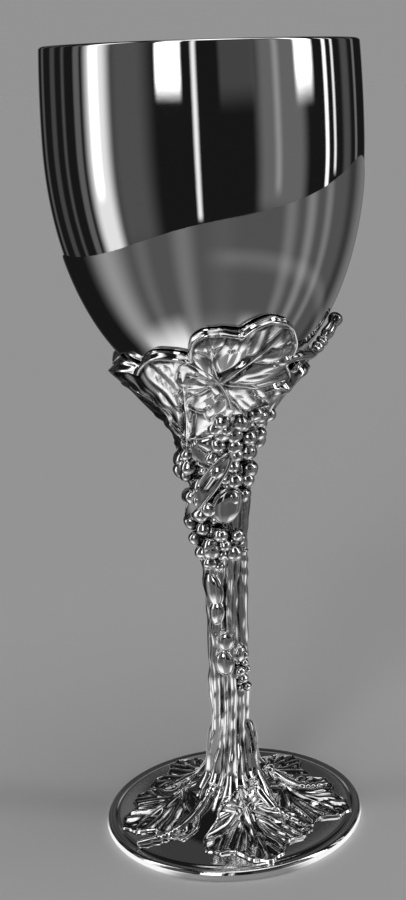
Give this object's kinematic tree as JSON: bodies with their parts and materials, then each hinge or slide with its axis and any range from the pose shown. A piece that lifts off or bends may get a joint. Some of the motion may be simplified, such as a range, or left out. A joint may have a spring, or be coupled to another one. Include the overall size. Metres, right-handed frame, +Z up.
{
  "type": "goblet",
  "caption": "Stemmed wine goblet with a plain polished bowl, a cast stem of vine trunk, grapes and leaves clasping the bowl, and a round foot with vine leaves on it.",
  "frame": {"origin": "on the table at the centre of the round foot, on the goblet's axis", "axes": "+Z up along the goblet's axis to the rim; -Y towards the front, where the largest leaf clasps the bowl; +X to the right"},
  "size_m": [0.077, 0.077, 0.2],
  "materials": {
    "polished_silver": "mirror-polished silver",
    "cast_silver": "cast silver, polished on the high places and darker in the hollows"
  },
  "bodies": {
    "root": {"bowl": "polished_silver", "vine_stem": "cast_silver"}
  },
  "joints": []
}
